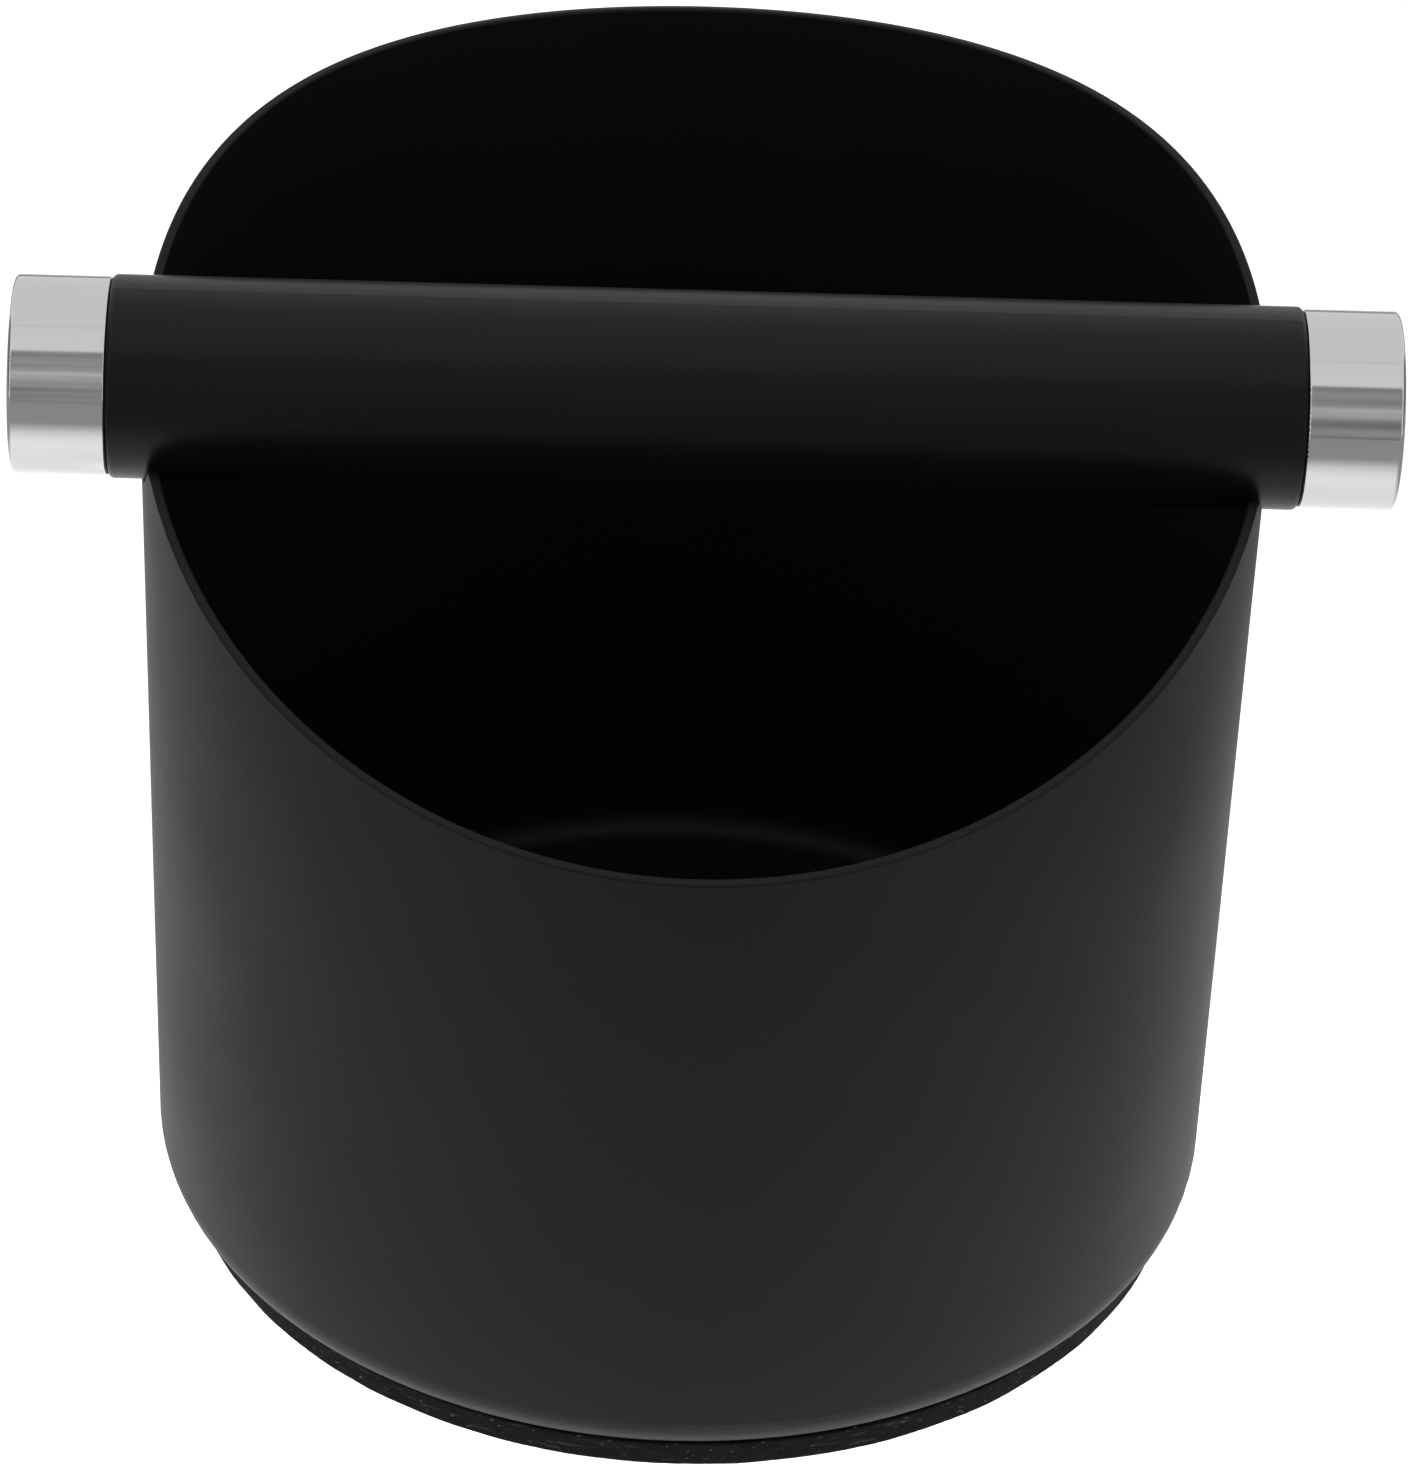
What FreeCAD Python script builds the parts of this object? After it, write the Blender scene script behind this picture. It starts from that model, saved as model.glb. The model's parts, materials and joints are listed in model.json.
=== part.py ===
import FreeCAD, Part
import math
import os

# Espresso knock box: a round steel bin with a slanted mouth, a foam foot pad under it, and a
# rubber-covered knock bar that lies in two half-round notches in the rim.
#
# Frame: millimetres, +Z up, origin at the centre of the pad's underside. The bar lies along X,
# the low lip of the mouth is towards -Y and the high back is towards +Y.

# --- foot pad -----------------------------------------------------------------------------
PAD_RADIUS = 65.7
PAD_THICKNESS = 3.5
PAD_EDGE_RADIUS = 0.4
ADHESIVE_RADIUS = 62.0
ADHESIVE_THICKNESS = 0.2

# --- bin ----------------------------------------------------------------------------------
WALL = 1.25
BODY_RADIUS = 70.0           # outside radius at BODY_RADIUS_HEIGHT
BODY_RADIUS_HEIGHT = 90.0
BODY_TAPER = 0.011           # growth of the radius for each millimetre of height
BASE_FILLET = 5.5            # outside radius between the wall and the base
LIP_HEIGHT = 92.9            # height of the rim at the front of the mouth
RIM_SLOPE = 0.415            # rise of the rim for each millimetre towards the back
CROWN_START = 11.4           # where the slanted rim turns into the round back crown
CROWN_RADIUS = 118.3
RIM_EDGE_RADIUS = 0.35       # rounding of the rim's two long edges
NOTCH_CORNER_RADIUS = 3.0    # rounding where each notch meets the rim

# --- knock bar ----------------------------------------------------------------------------
BAR_Y = -3.3
BAR_LENGTH = 171.4
SLEEVE_RADIUS = 12.65
SLEEVE_LENGTH = 147.5
SLEEVE_EDGE_RADIUS = 0.8
NOTCH_CLEARANCE = 0.35       # between the sleeve and the notch
CAP_RADIUS = 12.4
CAP_EDGE_RADIUS = 0.65
CAP_MOUTH_RADIUS = 0.3
CAP_END_WALL = 2.4
CAP_BOSS_RADIUS = 5.0
TUBE_RADIUS = 9.5
TUBE_WALL = 1.5
TUBE_END_GAP = 0.6           # between the tube's end and the cap's end wall
RUNNING_GAP = 0.05           # radial gap between the tube and what turns on it
PLUG_LENGTH = 10.0
PLUG_RECESS = 9.0            # from the tube's end in to the plug
STUD_RADIUS = 2.5
STUD_CHAMFER = 0.5
STUD_REACH = 7.0             # length of the stud inside the cap's boss
STUD_END_GAP = 0.5

BIN_BASE = PAD_THICKNESS + ADHESIVE_THICKNESS
NOTCH_RADIUS = SLEEVE_RADIUS + NOTCH_CLEARANCE
LEAN = math.atan(BODY_TAPER)
SLOPE = math.atan(RIM_SLOPE)
REACH = 100.0                # past the bin on every side
BLANK_HEIGHT = 150.0         # above the finished rim
AXIS_X = FreeCAD.Vector(1, 0, 0)
AXIS_Z = FreeCAD.Vector(0, 0, 1)


def wall_radius(height):
    """Outside radius of the bin's wall."""
    return BODY_RADIUS + BODY_TAPER * (height - BODY_RADIUS_HEIGHT)


def rim_height(y):
    """Height of the straight, slanted part of the rim."""
    return LIP_HEIGHT + RIM_SLOPE * (y + BODY_RADIUS)


BAR_CENTRE = FreeCAD.Vector(0, BAR_Y, rim_height(BAR_Y))


def line(start, end):
    return Part.LineSegment(start, end).toShape()


def arc(start, middle, end):
    return Part.Arc(start, middle, end).toShape()


def cup(inset):
    """Solid of revolution with the bin's outline, moved in by inset from the outside surface."""
    def spot(radius, height):
        return FreeCAD.Vector(radius, 0, height)

    radius = BASE_FILLET - inset
    floor = BIN_BASE + inset
    centre_z = BIN_BASE + BASE_FILLET
    centre_r = wall_radius(centre_z) - BASE_FILLET / math.cos(LEAN)
    halfway = (LEAN + math.pi / 2) / 2
    fillet_start = spot(centre_r, floor)
    fillet_middle = spot(centre_r + radius * math.cos(halfway), centre_z - radius * math.sin(halfway))
    fillet_end = spot(centre_r + radius * math.cos(LEAN), centre_z - radius * math.sin(LEAN))
    wall_top = spot(wall_radius(BLANK_HEIGHT) - inset / math.cos(LEAN), BLANK_HEIGHT)
    outline = Part.Wire([
        line(spot(0, floor), fillet_start),
        arc(fillet_start, fillet_middle, fillet_end),
        line(fillet_end, wall_top),
        line(wall_top, spot(0, BLANK_HEIGHT)),
        line(spot(0, BLANK_HEIGHT), spot(0, floor)),
    ])
    return Part.Face(outline).revolve(FreeCAD.Vector(0, 0, 0), AXIS_Z, 360)


def by_rim(along, square):
    """Point in the plane X = 0, measured from the bar's axis along and square to the slanted rim."""
    y = along * math.cos(SLOPE) - square * math.sin(SLOPE)
    z = along * math.sin(SLOPE) + square * math.cos(SLOPE)
    return BAR_CENTRE + FreeCAD.Vector(0, y, z)


def notch_corner(side):
    """Arc that rounds a notch into the rim, from the rim to the notch. side is -1 or 1."""
    reach = NOTCH_RADIUS + NOTCH_CORNER_RADIUS
    along = math.sqrt(reach ** 2 - NOTCH_CORNER_RADIUS ** 2)
    towards_bar = math.atan2(NOTCH_CORNER_RADIUS, along)
    halfway = (towards_bar + math.pi / 2) / 2
    rim_end = by_rim(side * along, 0)
    middle_along = along - NOTCH_CORNER_RADIUS * math.cos(halfway)
    middle_square = NOTCH_CORNER_RADIUS * (math.sin(halfway) - 1)
    notch_along = NOTCH_RADIUS * math.cos(towards_bar)
    notch_square = -NOTCH_RADIUS * math.sin(towards_bar)
    return rim_end, by_rim(side * middle_along, middle_square), by_rim(side * notch_along, notch_square)


def crown_height(y):
    """Height of the round crown at the back of the rim."""
    centre_y = CROWN_START + CROWN_RADIUS * math.sin(SLOPE)
    centre_z = rim_height(CROWN_START) - CROWN_RADIUS * math.cos(SLOPE)
    return centre_z + math.sqrt(CROWN_RADIUS ** 2 - (y - centre_y) ** 2)


def mouth_outline():
    """Closed outline, in the plane X = 0, of all that is cut away above the rim and in the notches."""
    def spot(y, z):
        return FreeCAD.Vector(0, y, z)

    front = spot(-REACH, rim_height(-REACH))
    front_rim, front_middle, front_notch = notch_corner(-1)
    back_rim, back_middle, back_notch = notch_corner(1)
    crown_start = spot(CROWN_START, rim_height(CROWN_START))
    crown_middle_y = (CROWN_START + REACH) / 2
    crown_end = spot(REACH, crown_height(REACH))
    top_back = spot(REACH, BLANK_HEIGHT + 1)
    top_front = spot(-REACH, BLANK_HEIGHT + 1)
    return Part.Wire([
        line(front, front_rim),
        arc(front_rim, front_middle, front_notch),
        arc(front_notch, by_rim(0, -NOTCH_RADIUS), back_notch),
        arc(back_notch, back_middle, back_rim),
        line(back_rim, crown_start),
        arc(crown_start, spot(crown_middle_y, crown_height(crown_middle_y)), crown_end),
        line(crown_end, top_back),
        line(top_back, top_front),
        line(top_front, front),
    ])


def rim_edges(shell, outline):
    """The long edges of the rim: on the mouth's outline, and on the wall's outer or inner face."""
    faces = (0.0, WALL / math.cos(LEAN))

    def is_on_rim(spot):
        depth = wall_radius(spot.z) - math.hypot(spot.x, spot.y)
        flat = Part.Vertex(0, spot.y, spot.z)
        on_face = any(abs(depth - face) < 0.01 for face in faces)
        return on_face and flat.distToShape(outline)[0] < 0.01

    def spots(edge):
        first, last = edge.ParameterRange
        return [edge.valueAt(first + (last - first) * share) for share in (0.0, 0.5, 1.0)]

    return [edge for edge in shell.Edges if all(is_on_rim(spot) for spot in spots(edge))]


def bin_shell():
    outline = mouth_outline()
    mouth = Part.Face(outline).extrude(AXIS_X * 2 * REACH)
    mouth.translate(AXIS_X * -REACH)
    shell = cup(0).cut(cup(WALL)).cut(mouth)
    return shell.makeFillet(RIM_EDGE_RADIUS, rim_edges(shell, outline))


def base_pad():
    pad = Part.makeCylinder(PAD_RADIUS, PAD_THICKNESS)
    rims = [edge for edge in pad.Edges if edge.Closed]
    return pad.makeFillet(PAD_EDGE_RADIUS, rims)


def pad_adhesive():
    return Part.makeCylinder(ADHESIVE_RADIUS, ADHESIVE_THICKNESS, FreeCAD.Vector(0, 0, PAD_THICKNESS))


def rod(radius, start, end):
    """Cylinder on the bar's axis between two places along X."""
    place = BAR_CENTRE + AXIS_X * start
    return Part.makeCylinder(radius, end - start, place, AXIS_X)


def end_edges(shape, places, radius):
    """Round edges of a bar piece, at the given places along X and of the given radius."""
    def fits(edge):
        round_edge = edge.Closed and isinstance(edge.Curve, Part.Circle)
        return round_edge and abs(edge.Curve.Radius - radius) < 0.01

    found = [edge for edge in shape.Edges if fits(edge)]
    return [edge for edge in found if any(abs(edge.Curve.Center.x - place) < 0.01 for place in places)]


def mirrored(shape):
    """The same piece at the other end of the bar."""
    return shape.mirror(FreeCAD.Vector(0, 0, 0), AXIS_X)


SLEEVE_END = SLEEVE_LENGTH / 2
BAR_END = BAR_LENGTH / 2
CAP_FLOOR = BAR_END - CAP_END_WALL
TUBE_END = CAP_FLOOR - TUBE_END_GAP
PLUG_FACE = TUBE_END - PLUG_RECESS
TUBE_BORE = TUBE_RADIUS - TUBE_WALL


def bar_tube():
    return rod(TUBE_RADIUS, -TUBE_END, TUBE_END).cut(rod(TUBE_BORE, -TUBE_END, TUBE_END))


def bar_sleeve():
    blank = rod(SLEEVE_RADIUS, -SLEEVE_END, SLEEVE_END)
    ends = end_edges(blank, (-SLEEVE_END, SLEEVE_END), SLEEVE_RADIUS)
    rounded = blank.makeFillet(SLEEVE_EDGE_RADIUS, ends)
    return rounded.cut(rod(TUBE_RADIUS + RUNNING_GAP, -SLEEVE_END, SLEEVE_END))


def end_cap():
    """Chromed cup over the right end of the tube, with a boss for the stud."""
    cap = rod(CAP_RADIUS, SLEEVE_END, BAR_END)
    cap = cap.makeFillet(CAP_EDGE_RADIUS, end_edges(cap, (BAR_END,), CAP_RADIUS))
    cap = cap.makeFillet(CAP_MOUTH_RADIUS, end_edges(cap, (SLEEVE_END,), CAP_RADIUS))
    cap = cap.cut(rod(TUBE_RADIUS + RUNNING_GAP, SLEEVE_END, CAP_FLOOR))
    cap = cap.fuse(rod(CAP_BOSS_RADIUS, PLUG_FACE, CAP_FLOOR)).removeSplitter()
    return cap.cut(rod(STUD_RADIUS, PLUG_FACE, PLUG_FACE + STUD_REACH + STUD_END_GAP))


def tube_plug():
    """Threaded plug inside the right end of the tube."""
    plug = rod(TUBE_BORE - RUNNING_GAP, PLUG_FACE - PLUG_LENGTH, PLUG_FACE)
    return plug.cut(rod(STUD_RADIUS, PLUG_FACE - PLUG_LENGTH, PLUG_FACE))


def cap_stud():
    """Stud that joins the right cap to its plug."""
    stud = rod(STUD_RADIUS, PLUG_FACE - PLUG_LENGTH, PLUG_FACE + STUD_REACH)
    return stud.makeChamfer(STUD_CHAMFER, [edge for edge in stud.Edges if edge.Closed])


PARTS = {
    "bin_shell": bin_shell(),
    "base_pad": base_pad(),
    "pad_adhesive": pad_adhesive(),
    "bar_tube": bar_tube(),
    "bar_sleeve": bar_sleeve(),
    "end_cap_right": end_cap(),
    "end_cap_left": mirrored(end_cap()),
    "tube_plug_right": tube_plug(),
    "tube_plug_left": mirrored(tube_plug()),
    "cap_studs": Part.makeCompound([cap_stud(), mirrored(cap_stud())]),
}

os.makedirs("parts", exist_ok=True)
for node, shape in PARTS.items():
    shape.exportStep("parts/%s.step" % node)
    box = shape.BoundBox
    print("%-16s solids %d valid %s volume %.1f box %.2f %.2f %.2f to %.2f %.2f %.2f" % (
        node, len(shape.Solids), shape.isValid(), shape.Volume,
        box.XMin, box.YMin, box.ZMin, box.XMax, box.YMax, box.ZMax))
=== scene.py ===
import json
import math

import bmesh
import bpy
from mathutils import Matrix, Vector, noise


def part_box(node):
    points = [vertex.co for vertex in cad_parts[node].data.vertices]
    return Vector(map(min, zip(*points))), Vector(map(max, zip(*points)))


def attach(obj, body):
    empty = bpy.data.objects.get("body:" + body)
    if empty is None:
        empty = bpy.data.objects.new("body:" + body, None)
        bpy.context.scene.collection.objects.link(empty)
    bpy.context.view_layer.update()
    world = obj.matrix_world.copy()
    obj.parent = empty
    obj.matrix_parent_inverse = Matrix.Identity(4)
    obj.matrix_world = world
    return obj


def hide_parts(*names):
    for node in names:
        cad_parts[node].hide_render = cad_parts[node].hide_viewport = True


# Espresso knock box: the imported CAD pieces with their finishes, a finer foam pad, a light table with a
# tent over it, and the camera. Metres, in the frame of the CAD: +Z up, the low lip of the bin towards -Y.

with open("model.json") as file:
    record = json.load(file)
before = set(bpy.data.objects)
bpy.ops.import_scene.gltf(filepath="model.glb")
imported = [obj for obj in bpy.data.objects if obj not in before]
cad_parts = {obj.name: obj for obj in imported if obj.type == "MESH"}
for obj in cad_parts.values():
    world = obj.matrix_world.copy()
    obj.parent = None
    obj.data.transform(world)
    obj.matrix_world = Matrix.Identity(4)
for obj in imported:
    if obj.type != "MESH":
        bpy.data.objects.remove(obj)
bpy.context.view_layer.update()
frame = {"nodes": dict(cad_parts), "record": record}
NODES = frame["nodes"]
SLOT_OF = {part["node"]: part["material_slot"] for part in frame["record"]["subparts"]}

MM = 0.001

# ---------------------------------------------------------------- camera
CAMERA_TARGET = Vector((1.47, 0.0, 66.88)) * MM       # the point in the middle of the picture
CAMERA_DISTANCE = 900 * MM
CAMERA_ELEVATION = math.radians(34.33)
CAMERA_AZIMUTH = math.radians(-1.2)
CAMERA_ROLL = math.radians(2.2)
CAMERA_LENS = 171.2          # millimetres, on a sensor as below
SENSOR_WIDTH = 36.0


def make_camera():
    data = bpy.data.cameras.new("camera")
    data.lens = CAMERA_LENS
    data.sensor_width = SENSOR_WIDTH
    data.clip_start = 0.01
    camera = bpy.data.objects.new("camera", data)
    turn = Matrix.Rotation(CAMERA_AZIMUTH, 4, "Z")
    turn @= Matrix.Rotation(math.pi / 2 - CAMERA_ELEVATION, 4, "X")
    turn @= Matrix.Rotation(CAMERA_ROLL, 4, "Z")
    backwards = turn.col[2].to_3d()
    camera.matrix_world = Matrix.Translation(CAMERA_TARGET + backwards * CAMERA_DISTANCE) @ turn
    bpy.context.scene.collection.objects.link(camera)
    bpy.context.scene.camera = camera


# ---------------------------------------------------------------- node helpers
PATCH_EDGE = (0.58, 0.66)    # how high a noise has to be for a patch of specks to start and to be full


class NodeTree:
    """Short ways to add nodes to a material or to the world."""

    def __init__(self, owner, place):
        owner.use_nodes = True
        self.nodes = owner.node_tree.nodes
        self.links = owner.node_tree.links
        self.place = self.nodes.new("ShaderNodeTexCoord").outputs[place]

    def link(self, source, target):
        self.links.new(source, target)

    def feed(self, socket, value):
        """Give a socket a number, or the output of another node."""
        if isinstance(value, (int, float)):
            socket.default_value = value
        else:
            self.link(value, socket)

    def axes(self):
        """The X, Y and Z of the place that is shaded."""
        split = self.nodes.new("ShaderNodeSeparateXYZ")
        self.link(self.place, split.inputs["Vector"])
        return split.outputs["X"], split.outputs["Y"], split.outputs["Z"]

    def noise(self, scale, detail=2.0, stretch=(1, 1, 1)):
        mapping = self.nodes.new("ShaderNodeMapping")
        mapping.inputs["Scale"].default_value = stretch
        self.link(self.place, mapping.inputs["Vector"])
        node = self.nodes.new("ShaderNodeTexNoise")
        node.inputs["Scale"].default_value = scale
        node.inputs["Detail"].default_value = detail
        self.link(mapping.outputs["Vector"], node.inputs["Vector"])
        return node.outputs["Fac"]

    def cells(self, scale):
        node = self.nodes.new("ShaderNodeTexVoronoi")
        node.inputs["Scale"].default_value = scale
        self.link(self.place, node.inputs["Vector"])
        return node.outputs["Distance"]

    def remap(self, value, low, high, to_low, to_high, smooth=False):
        node = self.nodes.new("ShaderNodeMapRange")
        if smooth:
            node.interpolation_type = "SMOOTHSTEP"
        node.inputs["From Min"].default_value = low
        node.inputs["From Max"].default_value = high
        node.inputs["To Min"].default_value = to_low
        node.inputs["To Max"].default_value = to_high
        self.link(value, node.inputs["Value"])
        return node.outputs["Result"]

    def spread(self, pattern, low, high):
        """Spread the usual range of a noise pattern over low to high."""
        return self.remap(pattern, 0.3, 0.7, low, high)

    def maths(self, operation, *values):
        node = self.nodes.new("ShaderNodeMath")
        node.operation = operation
        for socket, value in zip(node.inputs, values):
            self.feed(socket, value)
        return node.outputs["Value"]

    def blend(self, share, first, second):
        """Colour between two colours, of which the first may come from another node."""
        node = self.nodes.new("ShaderNodeMix")
        node.data_type = "RGBA"
        if isinstance(first, tuple):
            node.inputs["A"].default_value = first
        else:
            self.link(first, node.inputs["A"])
        node.inputs["B"].default_value = second
        self.link(share, node.inputs["Factor"])
        return node.outputs["Result"]

    def specks(self, scale, size, patch_scale):
        """1 on fine dots that lie only in scattered patches, 0 elsewhere."""
        dots = self.remap(self.cells(scale), 0.0, size, 1.0, 0.0)
        patches = self.remap(self.noise(patch_scale), *PATCH_EDGE, 0.0, 1.0)
        return self.maths("MULTIPLY", dots, patches)

    def bump(self, height, distance, under=None):
        node = self.nodes.new("ShaderNodeBump")
        node.inputs["Distance"].default_value = distance
        self.link(height, node.inputs["Height"])
        if under is not None:
            self.link(under, node.inputs["Normal"])
        return node.outputs["Normal"]


class Shader(NodeTree):
    """A new material with one Principled shader."""

    def __init__(self, name):
        self.material = bpy.data.materials.new(name)
        super().__init__(self.material, "Object")
        self.surface = self.nodes["Principled BSDF"]

    def set(self, name, value):
        self.surface.inputs[name].default_value = value

    def drive(self, name, source):
        self.link(source, self.surface.inputs[name])


def grey(value):
    """A neutral colour, very slightly cool."""
    return (value, value, value * 1.02, 1)


# ---------------------------------------------------------------- materials
COAT_SHINE = 0.18            # share of the usual mirror reflection, for the black coat and the rubber
FOAM_SHINE = 0.12


def powder_coat():
    """Matt black powder coat: fine orange peel, faint dust, slightly uneven gloss."""
    shader = Shader("matt_powder_coat")
    shader.set("Specular IOR Level", COAT_SHINE)
    dust = shader.specks(scale=260, size=0.028, patch_scale=60)
    shader.drive("Base Color", shader.blend(dust, grey(0.009), grey(0.05)))
    shader.drive("Roughness", shader.spread(shader.noise(35, detail=4), 0.47, 0.53))
    peel = shader.bump(shader.noise(900, detail=3), 0.02 * MM)
    shader.drive("Normal", shader.bump(shader.noise(4200), 0.008 * MM, under=peel))
    return shader.material


def sleeve_rubber():
    """Smooth matt rubber with faint turning marks and a little dust."""
    shader = Shader("smooth_black_rubber")
    shader.set("Specular IOR Level", COAT_SHINE)
    dust = shader.specks(scale=330, size=0.03, patch_scale=80)
    shader.drive("Base Color", shader.blend(dust, grey(0.008), grey(0.06)))
    shader.drive("Roughness", shader.spread(shader.noise(45, detail=4), 0.31, 0.36))
    marks = shader.bump(shader.noise(500, detail=3, stretch=(8, 1, 1)), 0.015 * MM)
    shader.drive("Normal", shader.bump(shader.noise(3600), 0.01 * MM, under=marks))
    return shader.material


def cap_chrome():
    """Polished chrome, faintly rippled, with hairline marks and a few pits."""
    shader = Shader("polished_chrome")
    shader.set("Metallic", 1.0)
    pits = shader.specks(scale=420, size=0.03, patch_scale=120)
    shader.drive("Base Color", shader.blend(pits, grey(0.66), grey(0.30)))
    shader.drive("Roughness", shader.remap(shader.noise(140, detail=5), 0.35, 0.7, 0.045, 0.09))
    ripple = shader.bump(shader.noise(70, detail=1), 0.03 * MM)
    hairlines = shader.noise(1500, stretch=(12, 1, 1))
    shader.drive("Normal", shader.bump(hairlines, 0.0015 * MM, under=ripple))
    return shader.material


def foot_foam():
    """Dense black foam with open cells on its cut edge, pale lint and a few scuffs."""
    shader = Shader("black_foam")
    shader.set("Specular IOR Level", FOAM_SHINE)
    lint = shader.remap(shader.noise(900, stretch=(1, 1, 2.5)), 0.66, 0.74, 0.0, 0.7)
    scuffs = shader.remap(shader.noise(160, detail=3, stretch=(1, 1, 9)), 0.60, 0.72, 0.0, 0.5)
    pale = shader.maths("ADD", lint, shader.maths("MULTIPLY", scuffs, shader.noise(2400)))
    shader.drive("Base Color", shader.blend(pale, grey(0.006), grey(0.12)))
    lumps = shader.noise(600, detail=4)
    shader.drive("Roughness", shader.spread(lumps, 0.78, 0.92))
    uneven = shader.bump(lumps, 0.12 * MM)
    shader.drive("Normal", shader.bump(shader.cells(2600), 0.06 * MM, under=uneven))
    return shader.material


def bare_steel(name, tone, stretch):
    """Drawn or turned steel with fine lines."""
    shader = Shader(name)
    shader.set("Metallic", 1.0)
    lines = shader.noise(900, detail=3, stretch=stretch)
    shader.drive("Base Color", shader.blend(lines, grey(tone * 0.85), grey(tone)))
    shader.drive("Roughness", shader.spread(lines, 0.25, 0.38))
    shader.drive("Normal", shader.bump(lines, 0.01 * MM))
    return shader.material


def adhesive_film():
    """Pale, cloudy double-sided sheet."""
    shader = Shader("adhesive_film")
    cloud = shader.noise(300, detail=4)
    shader.drive("Base Color", shader.blend(cloud, grey(0.45), grey(0.6)))
    shader.drive("Roughness", shader.spread(cloud, 0.5, 0.65))
    shader.drive("Normal", shader.bump(cloud, 0.02 * MM))
    return shader.material


def finishes():
    """Material of each slot in the record."""
    return {
        "coated_steel": powder_coat(),
        "sleeve_rubber": sleeve_rubber(),
        "cap_chrome": cap_chrome(),
        "foot_foam": foot_foam(),
        "steel_tube": bare_steel("drawn_steel", 0.6, (1, 14, 14)),
        "plug_steel": bare_steel("turned_steel", 0.55, (14, 1, 1)),
        "adhesive": adhesive_film(),
    }


# ---------------------------------------------------------------- foam pad
PAD_SEGMENTS = 720
PAD_EDGE_ROWS = 14           # over the pad's thickness
PAD_EDGE_ROUNDING = 0.15 * MM
PAD_TRIM = 0.15 * MM         # how much smaller it is cut than the CAD disc
PAD_PORES = 0.05 * MM        # depth of the open cells on the cut edge
PAD_WAVE = 0.12 * MM         # how far the knife wandered
PORE_FREQUENCY = 2200        # per metre
WAVE_FREQUENCY = 160         # per metre
PAD_FACE_RINGS = (0.97, 0.85, 0.6, 0.3)      # rings of the flat faces, as shares of the radius
PAD_SHIFT = Vector((0.3, -0.35, 0.0)) * MM   # it is stuck on slightly off the middle


def edge_reach(radius, angle, z, low, high):
    """Distance of the pad's cut edge from the middle, at one angle and height."""
    spot = Vector((math.cos(angle) * radius, math.sin(angle) * radius, z))
    into_rounding = max(PAD_EDGE_ROUNDING - min(z - low, high - z), 0)
    inset = PAD_EDGE_ROUNDING - math.sqrt(PAD_EDGE_ROUNDING ** 2 - into_rounding ** 2)
    pores = noise.noise(spot * PORE_FREQUENCY) * PAD_PORES
    spot.z = 0
    wave = noise.noise(spot * WAVE_FREQUENCY) * PAD_WAVE
    return radius - PAD_TRIM - inset + pores + wave


def join_rings(mesh, lower, upper):
    """Faces that look outwards between two rings of points, of which the first is the lower or outer one."""
    for step, corner in enumerate(lower):
        after = (step + 1) % PAD_SEGMENTS
        mesh.faces.new((corner, lower[after], upper[after], upper[step]))


def close_face(mesh, ring, turned):
    """Flat face inside a ring of points, as smaller rings and a fan at the middle."""
    z = ring[0].co.z
    outer = ring[::-1] if turned else ring
    first = outer
    for share in PAD_FACE_RINGS:
        inner = [mesh.verts.new((point.co.x * share, point.co.y * share, z)) for point in first]
        join_rings(mesh, outer, inner)
        outer = inner
    centre = mesh.verts.new((0, 0, z))
    for step, corner in enumerate(outer):
        mesh.faces.new((corner, outer[(step + 1) % PAD_SEGMENTS], centre))


def build_foam_pad(material):
    """The cut foam pad: a disc whose edge is a little uneven, as a knife leaves it."""
    low, high = (Vector(corner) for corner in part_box("base_pad"))
    radius = (high.x - low.x) / 2
    mesh = bmesh.new()
    rings = []
    for row in range(PAD_EDGE_ROWS + 1):
        z = low.z + (high.z - low.z) * row / PAD_EDGE_ROWS
        ring = []
        for step in range(PAD_SEGMENTS):
            angle = 2 * math.pi * step / PAD_SEGMENTS
            reach = edge_reach(radius, angle, z, low.z, high.z)
            ring.append(mesh.verts.new((math.cos(angle) * reach, math.sin(angle) * reach, z)))
        rings.append(ring)
    for lower, upper in zip(rings, rings[1:]):
        join_rings(mesh, lower, upper)
    close_face(mesh, rings[0], turned=True)
    close_face(mesh, rings[-1], turned=False)
    data = bpy.data.meshes.new("foam_pad")
    bmesh.ops.translate(mesh, verts=mesh.verts, vec=PAD_SHIFT)
    mesh.to_mesh(data)
    mesh.free()
    data.shade_smooth()
    data.materials.append(material)
    pad = bpy.data.objects.new("foam_pad", data)
    bpy.context.scene.collection.objects.link(pad)
    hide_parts("base_pad")
    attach(pad, "bin")


# ---------------------------------------------------------------- studio
FLOOR_SIZE = 6.0
FLOOR_ROUGHNESS = 0.9
FLOOR_TONES = (0.46, 0.82)   # outside the glow and inside it
FLOOR_GAP = 0.02 * MM        # keeps the floor off the pad's underside
FLOOR_GLOW = 0.58            # the floor is a light table under and behind the box
# painted light: the floor glows more strongly in a ring round the foot, which fills in the box's contact
# shadow there
EDGE_GLOW = 0.72             # and brighter close to the foot
EDGE_FADE = (0.064, 0.090)   # where that ends, metres from the middle of the foot
FRONT_FADE = (0.075, 0.27)   # where the glow fades out in front of the box
SIDE_FADE = (0.100, 0.23)    # and to its left and right
BACK_FADE = (0.36, 0.70)     # and far behind it
GLOW_SHIFT = 0.015           # how far the glow's middle lies to the left
# Brightness of the tent by the angle around the X axis: 0 is the horizon in front, 90 overhead, 180 behind.
TENT = (
    (-90, 0.25),
    (0, 0.28),
    (14, 0.30),
    (32, 0.52),
    (42, 0.36),
    (57, 0.33),
    (58.5, 0.84),
    (86, 0.82),
    (88, 0.70),
    (90, 0.80),
    (180, 0.80),
    (200, 0.60),
    (270, 0.60),
)
ROOM_TOP = 57                # degrees, where the dim room in front ends and the tent starts
ROOM_PATCHES = 7             # how fine the room's uneven patches are
ROOM_UNEVENNESS = (0.7, 1.25)
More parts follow.
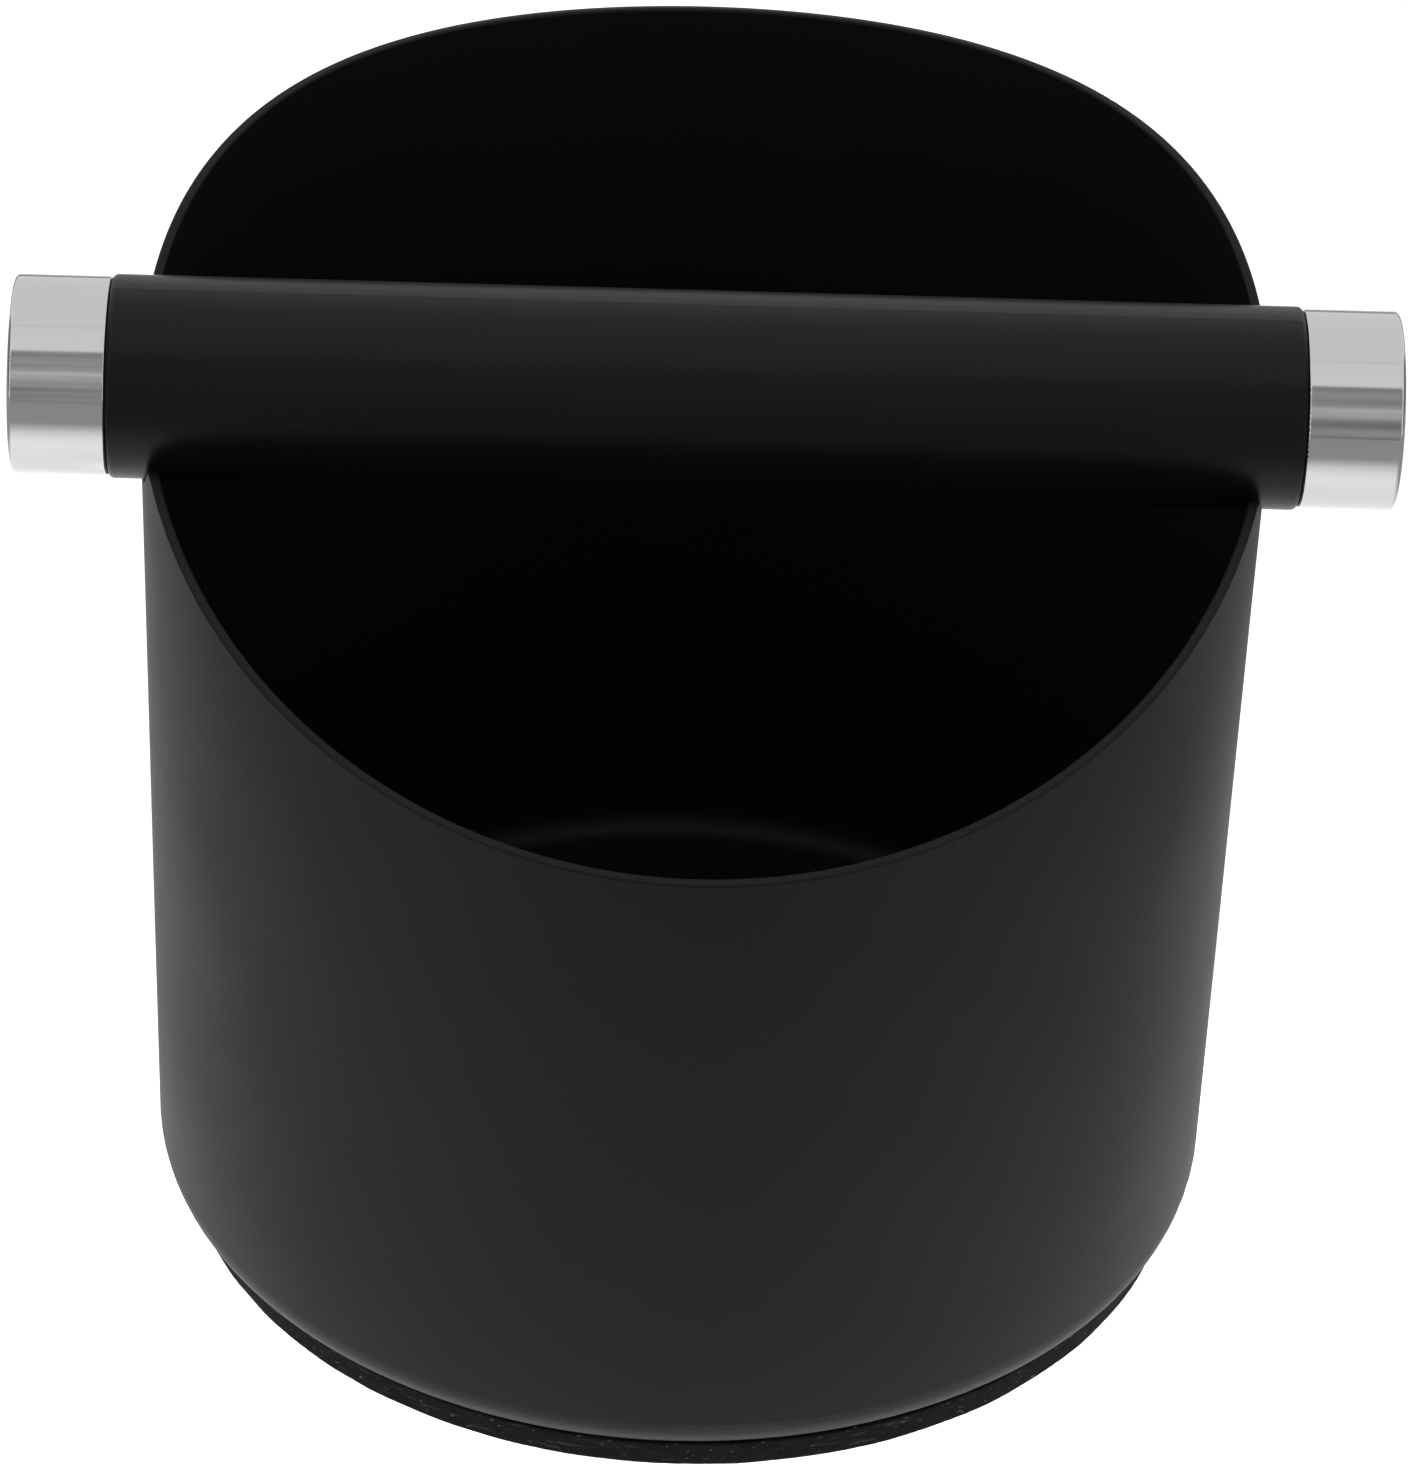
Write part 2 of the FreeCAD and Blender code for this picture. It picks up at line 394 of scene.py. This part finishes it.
# Side walls of the tent: where each starts and is full, as a share of the direction along X, and its tone.
SIDES = ((0.50, 0.56, 0.85), (0.80, 0.84, 0.18))
KEY_PLACE = Vector((-0.25, 0.35, 1.0))
KEY_SIZE = 1.2
KEY_POWER = 1.5              # watts


def floor_material():
    """Pale floor that glows under and behind the box and is plain farther out."""
    shader = Shader("pale_floor")
    shader.set("Roughness", FLOOR_ROUGHNESS)
    x, y, _ = shader.axes()
    aside = shader.maths("ABSOLUTE", shader.maths("ADD", x, GLOW_SHIFT))
    across = shader.maths("MULTIPLY", x, x)
    along = shader.maths("MULTIPLY", y, y)
    radius = shader.maths("SQRT", shader.maths("ADD", across, along))
    lit_front = shader.remap(y, -FRONT_FADE[1], -FRONT_FADE[0], 0.0, 1.0, smooth=True)
    lit_side = shader.remap(aside, *SIDE_FADE, 1.0, 0.0, smooth=True)
    lit_back = shader.remap(y, *BACK_FADE, 1.0, 0.0, smooth=True)
    lit = shader.maths("MULTIPLY", shader.maths("MULTIPLY", lit_front, lit_side), lit_back)
    plain, inside = FLOOR_TONES
    shader.drive("Base Color", shader.blend(lit, grey(plain), grey(inside)))
    # painted light near the foot: the stronger glow of this ring fills in the box's contact shadow
    glow = shader.remap(radius, *EDGE_FADE, FLOOR_GLOW + EDGE_GLOW, FLOOR_GLOW, smooth=True)
    shader.set("Emission Color", (1, 1, 1, 1))
    shader.drive("Emission Strength", shader.maths("MULTIPLY", lit, glow))
    return shader.material


def make_floor():
    mesh = bmesh.new()
    bmesh.ops.create_grid(mesh, x_segments=2, y_segments=2, size=FLOOR_SIZE / 2)
    data = bpy.data.meshes.new("floor")
    mesh.to_mesh(data)
    mesh.free()
    data.materials.append(floor_material())
    floor = bpy.data.objects.new("floor", data)
    floor.location.z = -FLOOR_GAP
    bpy.context.scene.collection.objects.link(floor)


def turn_share(degrees):
    """An angle around the X axis as a share of a full turn that starts and ends straight down."""
    return (degrees + 90) / 360


def level(tone):
    return (tone, tone, tone, 1)


def tent_tone(tree, turn):
    """Tone of the tent at an angle around the X axis."""
    ramp = tree.nodes.new("ShaderNodeValToRGB")
    stops = ramp.color_ramp.elements
    while len(stops) < len(TENT):
        stops.new(0.5)
    for stop, (degrees, tone) in zip(stops, TENT):
        stop.position = turn_share(degrees)
        stop.color = level(tone)
    tree.link(turn, ramp.inputs["Fac"])
    return ramp.outputs["Color"]


def make_world():
    """A light tent around the box, open towards the camera, where a dim and uneven room shows."""
    world = bpy.data.worlds.new("light_tent")
    bpy.context.scene.world = world
    tree = NodeTree(world, "Generated")
    background = tree.nodes["Background"]
    x, y, z = tree.axes()
    turn = tree.remap(tree.maths("ARCTAN2", y, z), -math.pi, math.pi, 0.0, 1.0)
    tone = tent_tone(tree, turn)
    aside = tree.maths("ABSOLUTE", x)
    for start, full, wall_tone in SIDES:
        tone = tree.blend(tree.remap(aside, start, full, 0.0, 1.0), tone, level(wall_tone))
    tree.link(tone, background.inputs["Color"])
    patches = tree.remap(tree.noise(ROOM_PATCHES), 0.35, 0.65, *ROOM_UNEVENNESS)
    in_room = tree.maths("LESS_THAN", turn, turn_share(ROOM_TOP))
    change = tree.maths("MULTIPLY", tree.maths("SUBTRACT", patches, 1.0), in_room)
    strength = tree.maths("ADD", change, 1.0)
    tree.link(strength, background.inputs["Strength"])


def make_soft_key():
    """Large soft light above and behind the box, which doesn't show in reflections."""
    data = bpy.data.lights.new("soft_key", "AREA")
    data.shape = "SQUARE"
    data.size = KEY_SIZE
    data.energy = KEY_POWER
    light = bpy.data.objects.new("soft_key", data)
    aim = (-KEY_PLACE).to_track_quat("-Z", "Y").to_matrix().to_4x4()
    light.matrix_world = Matrix.Translation(KEY_PLACE) @ aim
    light.visible_camera = False
    light.visible_glossy = False
    bpy.context.scene.collection.objects.link(light)


make_camera()
slots = finishes()
for node, obj in NODES.items():
    obj.data.materials.clear()
    obj.data.materials.append(slots[SLOT_OF[node]])
build_foam_pad(slots["foot_foam"])
make_floor()
make_world()
make_soft_key()
bpy.context.scene.view_settings.view_transform = "Standard"
